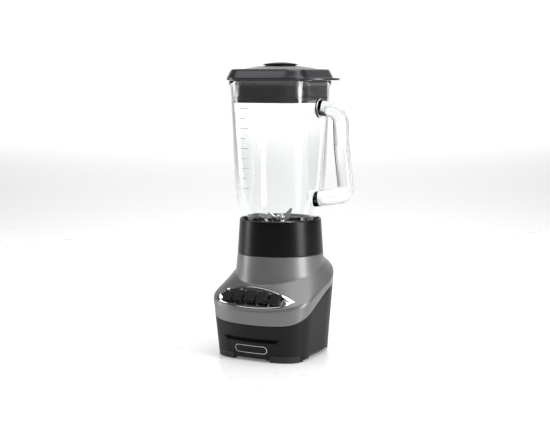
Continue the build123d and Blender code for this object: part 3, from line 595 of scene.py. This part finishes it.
def make_cap():
    """Measuring cap: a shallow lens-shaped top with a round rim, over a hollow plug."""
    def dome(radius):
        return cap_height - cap_radius + math.sqrt(cap_radius**2 - radius**2)

    profile = [(0.01, 382.2), (17.8, 382.2), (17.8, 370.6), (18.2, 370.0), (19.6, 370.0), (20, 370.5)]
    profile += [(20, 382.0), (22.2, 382.2), (22.8, 382.45), (23, 382.9), (22.85, 383.2)]
    profile += [(r, dome(r)) for r in (22.4, 21, 19, 16, 12, 8, 4, 1.5, 0.01)]
    return lathe("cap_lens", profile, 128, closed=True, sharp=40)


# ==== Collar, badge, panel =====================================================================
def make_collar():
    """Gloss black collar with a rounded lip, a small bevel at its foot and its hidden spigot."""
    slope = (collar_top_radius - collar_foot_radius) / (collar_top - collar_foot)

    def side(height):
        return collar_foot_radius + (height - collar_foot) * slope

    profile = [(53.9, 134.0), (56.6, collar_foot), (57.2, collar_foot + 0.15), (side(134.5), 134.5)]
    profile += [(side(z), z) for z in (137, 145, 155, 165, 174, 177.6)]
    profile += [(side(178.4) - 0.15, 178.6), (side(179) - 0.6, 179.25), (53.0, collar_top), (51.9, 179.2)]
    profile += [(51.45, 178.5), (53.0, 154.0), (28, 154.0), (28, 150.0), (51.4, 150.0)]
    profile += [(51.4, 120.6), (51.9, 120.0), (53.4, 120.0), (53.9, 120.6)]
    collar = lathe("collar_shell", profile, 192, closed=True, sharp=32)
    slots = []
    for k in range(4):
        angle = math.radians(45 + 90 * k)
        bpy.ops.mesh.primitive_cube_add(size=1)
        slot = bpy.context.object
        slot.scale = (14 * MM, 9 * MM, 10 * MM)
        slot.rotation_euler = (0, 0, angle)
        slot.location = (53.9 * math.cos(angle) * MM, 53.9 * math.sin(angle) * MM, 120 * MM)
        slots.append(slot)
    for slot in slots:
        boolean(collar, slot, "DIFFERENCE", 32)
    return collar


def make_thread_ring():
    """Inner wall of the collar, that the jar's neck screws into."""
    profile = [
        (45.8, 154.0), (48.3, 154.0), (48.3, 171.3), (47.8, 172.0), (46.3, 172.0), (45.8, 171.4),
    ]
    return lathe("thread_ring", profile, 128, closed=True)


def panel_point(u, v, w):
    """Point from the key panel's own axes: across, up the slope and out of it."""
    x, y, z = panel_centre
    cos, sin = math.cos(panel_slope), math.sin(panel_slope)
    return (x + u, y + v * cos - w * sin, z + v * sin + w * cos)


def arc_points(start, middle, end, count=24):
    """Points along the arc through three points, without its last point."""
    (ax, ay), (bx, by), (cx, cy) = start, middle, end
    d = 2 * (ax * (by - cy) + bx * (cy - ay) + cx * (ay - by))
    aa, bb, cc = ax**2 + ay**2, bx**2 + by**2, cx**2 + cy**2
    ux = (aa * (by - cy) + bb * (cy - ay) + cc * (ay - by)) / d
    uy = (aa * (cx - bx) + bb * (ax - cx) + cc * (bx - ax)) / d
    radius = math.hypot(ax - ux, ay - uy)
    a0 = math.atan2(ay - uy, ax - ux)
    a1 = math.atan2(by - uy, bx - ux)
    a2 = math.atan2(cy - uy, cx - ux)
    clockwise = (a1 - a0) % (2 * math.pi) > (a2 - a0) % (2 * math.pi)
    span = (a2 - a0) % (2 * math.pi) - (2 * math.pi if clockwise else 0)
    return [
        (ux + radius * math.cos(a0 + span * i / count), uy + radius * math.sin(a0 + span * i / count))
        for i in range(count)
    ]


def bezel_outline(grow=0.0):
    """Teardrop outline of the key panel, round at the left and pointed at the right."""
    points = arc_points((-42, 13), (-57, 1), (-47, -9))
    points += arc_points((-47, -9), (-3, -17.8), (44, -9.5), 40)
    points += arc_points((44, -9.5), (50.7, -3.6), (57, 3), 8)
    points += arc_points((57, 3), (12, 15), (-42, 13), 40)
    points = np.array(points)
    for _ in range(3):
        points = (np.roll(points, 1, 0) + 2 * points + np.roll(points, -1, 0)) / 4
    ahead = np.roll(points, -1, 0) - np.roll(points, 1, 0)
    normal = np.stack([ahead[:, 1], -ahead[:, 0]], 1)
    normal /= np.linalg.norm(normal, axis=1)[:, None]
    return points + normal * grow


def panel_prism(name, grow, low, high):
    """Straight prism over the key panel's outline, for cutting the hood's opening."""
    outline = bezel_outline(grow)
    loops = [[panel_point(u, v, w) for u, v in outline] for w in (low, high)]
    return loops_object(name, loops, cap_first=True, cap_last=True)


def surface_over(tree, u, v):
    """Height of the hood over the panel plane at a point, along the panel's normal."""
    start = Vector(panel_point(u, v, 40)) * MM
    hit = tree.ray_cast(start, -key_travel_axis)[0]
    if hit is None:
        return 0.0
    offset = hit / MM - Vector(panel_centre)
    return offset.dot(key_travel_axis)


def make_rim(tree):
    """Polished rim of the key panel, that follows the hood's surface."""
    steps = (
        (0.0, -1.2), (0.1, 0.2), (0.45, 0.75), (1.0, 0.97), (1.6, 0.97), (2.2, 0.75),
        (2.6, 0.2), (2.75, -0.8), (2.8, -3.4), (0.2, -3.0),
    )
    surface = np.array([surface_over(tree, u, v) for u, v in bezel_outline(-0.1)])
    for _ in range(6):
        surface = (np.roll(surface, 1) + 2 * surface + np.roll(surface, -1)) / 4
    loops = []
    for inward, up in steps:
        outline = bezel_outline(-inward)
        loops.append([panel_point(u, v, w + up) for (u, v), w in zip(outline, surface)])
    return loops_object("bezel_rim", loops, closed=True, sharp=50)


def make_key(index):
    """Push key with rounded corners, a bevelled and very slightly dished top, and its stem."""
    centre = key_centres[index]
    top = 5 - centre**2 / 260
    loops = []
    for inset, w, radius in (
        (2.0, top - 6.0, 0.8), (0.3, top - 6.0, 1.2), (0.0, top - 5.7, 1.4), (0.0, top - 1.5, 1.4),
        (0.12, top - 0.9, 1.4), (0.45, top - 0.4, 1.5), (1.0, top - 0.12, 1.6), (1.7, top, 1.6),
        (2.6, top - 0.1, 1.6),
    ):
        half_x = key_half_width - inset
        half_v = key_half_height - inset
        loop = []
        for quarter, (sx, sv) in enumerate(((1, 1), (-1, 1), (-1, -1), (1, -1))):
            for i in range(7):
                a = math.pi / 2 * (quarter + i / 6)
                u = centre + sx * (half_x - radius) + radius * math.cos(a)
                v = sv * (half_v - radius) + radius * math.sin(a)
                loop.append(panel_point(u, v, w))
        loops.append(loop)
    key = loops_object(f"key_cap_{index + 1}", loops, cap_first=True, cap_last=True, sharp=40)
    corners = [(-2.5, -2.5), (2.5, -2.5), (2.5, 2.5), (-2.5, 2.5)]
    stem = loops_object("stem", [
        [panel_point(centre + u, v, w) for u, v in corners] for w in (-20, top - 5.5)
    ], cap_first=True, cap_last=True)
    boolean(key, stem, "UNION", 40)
    return key


def make_badge(tree):
    """Blank badge: a raised pale line round a black field."""
    def loop(half_x, half_z, lift):
        """Round-ended outline laid on the body's front, lifted off it."""
        radius = min(5.0, half_z)
        flat = []
        for quarter, (sx, sz) in enumerate(((1, 1), (-1, 1), (-1, -1), (1, -1))):
            for i in range(11):
                a = math.pi / 2 * (quarter + i / 10)
                flat.append((sx * (half_x - radius) + radius * math.cos(a),
                             badge_height + sz * (half_z - radius) + radius * math.sin(a)))
            if quarter in (0, 2):
                end = -sx * (half_x - radius)
                start = flat[-1]
                flat += [(start[0] + (end - start[0]) * k / 24, start[1]) for k in range(1, 24)]
        points = []
        for x, z in flat:
            hit = tree.ray_cast(Vector((x, -200, z)) * MM, Vector((0, 1, 0)))[0]
            points.append((x, hit.y / MM - lift, z))
        return points

    plate = loops_object("badge_plate", [
        loop(24, 5.5, -0.4), loop(24, 5.5, 0.25), loop(23.8, 5.3, 0.42), loop(22.7, 4.3, 0.42),
        loop(22.5, 4.1, 0.2), loop(18, 2, 0.2), loop(12, 0.3, 0.2),
    ], cap_last=True, cap_first=True, sharp=40)
    line = loops_object("badge_line", [
        loop(23.6, 5.1, 0.4), loop(23.5, 5.0, 0.56), loop(23.0, 4.55, 0.56), loop(22.85, 4.4, 0.4),
    ], closed=True, sharp=40)
    return plate, line


# ==== Materials ================================================================================
def make_material(name, color, roughness, metallic=0.0, coat=0.0, grain=400, bump=0.02, vary=0.06,
                  specular=0.5):
    """Principled material whose colour and roughness drift a little, with a fine grain bump."""
    material = bpy.data.materials.new(name)
    material.use_nodes = True
    nodes, links = material.node_tree.nodes, material.node_tree.links
    shader = nodes["Principled BSDF"]
    shader.inputs["Metallic"].default_value = metallic
    shader.inputs["Coat Weight"].default_value = coat
    shader.inputs["Coat Roughness"].default_value = 0.2
    shader.inputs["Specular IOR Level"].default_value = specular
    place = nodes.new("ShaderNodeTexCoord")
    broad = nodes.new("ShaderNodeTexNoise")
    broad.inputs["Scale"].default_value = 22
    broad.inputs["Detail"].default_value = 3
    links.new(place.outputs["Object"], broad.inputs["Vector"])
    tint = nodes.new("ShaderNodeValToRGB")
    low, high = 1 - vary, 1 + vary
    tint.color_ramp.elements[0].position = 0.3
    tint.color_ramp.elements[1].position = 0.7
    tint.color_ramp.elements[0].color = (*[c * low for c in color], 1)
    tint.color_ramp.elements[1].color = (*[min(1, c * high) for c in color], 1)
    links.new(broad.outputs["Fac"], tint.inputs["Fac"])
    links.new(tint.outputs["Color"], shader.inputs["Base Color"])
    fine = nodes.new("ShaderNodeTexNoise")
    fine.inputs["Scale"].default_value = grain
    fine.inputs["Detail"].default_value = 4
    links.new(place.outputs["Object"], fine.inputs["Vector"])
    rough = nodes.new("ShaderNodeMapRange")
    rough.inputs["To Min"].default_value = roughness * 0.9
    rough.inputs["To Max"].default_value = min(1, roughness * 1.12)
    links.new(fine.outputs["Fac"], rough.inputs["Value"])
    links.new(rough.outputs["Result"], shader.inputs["Roughness"])
    relief = nodes.new("ShaderNodeBump")
    relief.inputs["Strength"].default_value = bump
    relief.inputs["Distance"].default_value = 0.0005
    links.new(fine.outputs["Fac"], relief.inputs["Height"])
    links.new(relief.outputs["Normal"], shader.inputs["Normal"])
    return material


def make_glass():
    """Clear glass, very slightly green, with a trace of surface ripple."""
    material = make_material("glass", (0.97, 0.985, 0.98), 0.01, grain=60, bump=0.01, vary=0.005)
    shader = material.node_tree.nodes["Principled BSDF"]
    shader.inputs["Transmission Weight"].default_value = 1.0
    shader.inputs["IOR"].default_value = 1.47
    return material


finishes = {
    "grey_paint": dict(color=(0.17, 0.17, 0.173), roughness=0.4, metallic=0.5, coat=0.2,
                       grain=2600, bump=0.03),
    "black_body": dict(color=(0.007, 0.007, 0.0072), roughness=0.46, grain=1500, bump=0.08,
                       specular=0.2),
    "gloss_black": dict(color=(0.003, 0.003, 0.0031), roughness=0.3, grain=300, bump=0.01,
                        specular=0.2),
    "lid_black": dict(color=(0.008, 0.009, 0.013), roughness=0.3, coat=0.3, grain=250, bump=0.01),
    "cap_black": dict(color=(0.005, 0.005, 0.0055), roughness=0.5, grain=900, bump=0.03, specular=0.15),
    "chrome": dict(color=(0.88, 0.88, 0.89), roughness=0.05, metallic=1.0, grain=500, bump=0.005,
                   vary=0.01),
    "key_black": dict(color=(0.010, 0.010, 0.0103), roughness=0.38, grain=2200, bump=0.1, specular=0.2),
    "rubber": dict(color=(0.010, 0.010, 0.010), roughness=0.62, grain=1800, bump=0.15),
    "steel": dict(color=(0.62, 0.62, 0.63), roughness=0.22, metallic=1.0, grain=900, bump=0.03),
    "aluminium": dict(color=(0.66, 0.66, 0.67), roughness=0.42, metallic=1.0, grain=900, bump=0.1),
    "lamination": dict(color=(0.2, 0.2, 0.21), roughness=0.5, metallic=0.8, grain=1200, bump=0.1),
    "copper": dict(color=(0.62, 0.25, 0.1), roughness=0.35, metallic=0.9, grain=1400, bump=0.15),
    "brass": dict(color=(0.72, 0.52, 0.22), roughness=0.28, metallic=1.0, grain=900, bump=0.03),
    "carbon": dict(color=(0.03, 0.03, 0.03), roughness=0.7, grain=1500, bump=0.1),
    "inner_plastic": dict(color=(0.05, 0.05, 0.053), roughness=0.5, grain=1200, bump=0.08),
    "coupling_rubber": dict(color=(0.014, 0.014, 0.014), roughness=0.6, grain=1500, bump=0.12),
    # painted shade for the floor of the shadow slot, darker than the body's own black
    "slot_painted_shade": dict(color=(0.002, 0.002, 0.002), roughness=0.8, grain=900, bump=0.02, specular=0.1),
    "pale_print": dict(color=(0.62, 0.62, 0.62), roughness=0.4, grain=900, bump=0.02),
}
materials = {name: make_material(name, **values) for name, values in finishes.items()}
materials["glass"] = make_glass()


def dress(obj, body, slot, *nodes, material=None):
    """Gives a piece its finish and ties it to its CAD body and the nodes that it stands for."""
    if not obj.data.materials:
        obj.data.materials.append(materials[material or slot])
    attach(obj, body)
    if nodes:
        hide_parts(*nodes)


# ==== Build ====================================================================================
for part in frame["record"]["subparts"]:
    node = frame["nodes"][part["node"]]
    node.data.materials.clear()
    node.data.materials.append(materials[part["material_slot"]])

hood_shell = make_hood()
body_shell = make_body()
hood_surface = surface_tree(hood_shell)
body_surface = surface_tree(body_shell)
boolean(hood_shell, panel_prism("opening", 0.25, -22, 30), "DIFFERENCE", 30)
dress(hood_shell, "base", "grey_paint", "hood")
dress(body_shell, "base", "black_body", "lower_body")
dress(make_rim(hood_surface), "base", "chrome")
for index in range(len(key_centres)):
    dress(make_key(index), f"key_{index + 1}", "key_black", f"key_{index + 1}")
badge_plate, badge_line = make_badge(body_surface)
dress(badge_plate, "base", "black_body", "badge")
dress(badge_line, "base", "black_body", material="pale_print")
dress(make_collar(), "jar_base", "gloss_black", "jar_collar")
dress(make_thread_ring(), "jar_base", "gloss_black")
dress(make_jar(), "jar", "glass", "glass_jar")
dress(make_marks(), "jar", "glass", material="pale_print")
dress(make_lid(), "lid", "lid_black", "lid")
dress(make_gasket(), "lid", "rubber", "lid_gasket")
dress(make_cap(), "cap", "lid_black", "measuring_cap", material="cap_black")

# ==== Floor, light and camera ==================================================================
backdrop_direction = (-math.sin(view_azimuth), math.cos(view_azimuth), 0)

bpy.ops.mesh.primitive_plane_add(size=40)
floor = bpy.context.object
floor.name = "floor"
floor_material = make_material("floor_white", (0.9, 0.9, 0.9), 0.28, grain=40, bump=0.0, vary=0.004)
glow = floor_material.node_tree.nodes["Principled BSDF"]
glow.inputs["Emission Color"].default_value = (1, 1, 1, 1)
# the floor brightens in a cone behind the object, so that it meets the sky without a line
floor_nodes, floor_links = floor_material.node_tree.nodes, floor_material.node_tree.links
distance = floor_nodes.new("ShaderNodeVectorMath")
distance.operation = "LENGTH"
floor_links.new(floor_nodes["Texture Coordinate"].outputs["Object"], distance.inputs[0])
behind = floor_nodes.new("ShaderNodeVectorMath")
behind.operation = "DOT_PRODUCT"
behind.inputs[1].default_value = backdrop_direction
floor_links.new(floor_nodes["Texture Coordinate"].outputs["Object"], behind.inputs[0])
cone = floor_nodes.new("ShaderNodeMath")
cone.operation = "MULTIPLY_ADD"
cone.inputs[1].default_value = -0.82
floor_links.new(distance.outputs["Value"], cone.inputs[0])
floor_links.new(behind.outputs["Value"], cone.inputs[2])
brighten = floor_nodes.new("ShaderNodeMapRange")
for socket, value in (("From Min", 0.1), ("From Max", 1.2), ("To Min", 0.15), ("To Max", 0.8)):
    brighten.inputs[socket].default_value = value
floor_links.new(cone.outputs["Value"], brighten.inputs["Value"])
floor_links.new(brighten.outputs["Result"], glow.inputs["Emission Strength"])
floor.data.materials.append(floor_material)

scene = bpy.context.scene
scene.view_settings.view_transform = "Standard"
world = bpy.data.worlds.new("studio")
scene.world = world
world.use_nodes = True
sky_nodes, sky_links = world.node_tree.nodes, world.node_tree.links
direction = sky_nodes.new("ShaderNodeTexCoord")
along = sky_nodes.new("ShaderNodeVectorMath")
along.operation = "DOT_PRODUCT"
along.inputs[1].default_value = backdrop_direction
sky = sky_nodes.new("ShaderNodeValToRGB")
# white behind the object and dark round the sides, which gives the glass its edges
for stop, (position, grey) in zip(sky.color_ramp.elements, ((0.55, 0.07), (0.93, 1))):
    stop.position = position
    stop.color = (grey, grey, grey, 1)
sky_links.new(direction.outputs["Generated"], along.inputs[0])
sky_links.new(along.outputs["Value"], sky.inputs["Fac"])
sky_links.new(sky.outputs["Color"], sky_nodes["Background"].inputs["Color"])
sky_nodes["Background"].inputs["Strength"].default_value = 1.05


def softbox(name, azimuth, elevation, distance, width, height, power):
    """Area light on a circle round the base, aimed at the object's middle."""
    a, e = math.radians(azimuth), math.radians(elevation)
    aim = Vector((0, 0, 0.17))
    back = Vector((math.sin(a) * math.cos(e), -math.cos(a) * math.cos(e), math.sin(e)))
    light = bpy.data.lights.new(name, "AREA")
    light.shape = "RECTANGLE"
    light.size, light.size_y = width, height
    light.energy = power
    obj = bpy.data.objects.new(name, light)
    scene.collection.objects.link(obj)
    obj.location = aim + back * distance
    obj.rotation_euler = (-back).to_track_quat("-Z", "Y").to_euler()


softbox("right_strip", 86, 14, 1.9, 0.6, 1.3, 30)
softbox("left_strip", -72, 10, 1.7, 0.4, 1.3, 11)
softbox("overhead", 125, 77, 1.9, 2.0, 1.9, 40)
softbox("lid_glow", -26, 46, 2.2, 1.9, 0.7, 10)

camera = bpy.data.objects.new("camera", bpy.data.cameras.new("camera"))
scene.collection.objects.link(camera)
camera_distance, camera_height, camera_pitch = 1.55, 0.365, math.radians(6.953)
camera.location = (
    camera_distance * math.sin(view_azimuth), -camera_distance * math.cos(view_azimuth), camera_height
)
camera.rotation_euler = (math.pi / 2 - camera_pitch, 0, view_azimuth)
camera.data.lens = 76.22
camera.data.sensor_width = 36
camera.data.shift_x = -0.01
scene.camera = camera
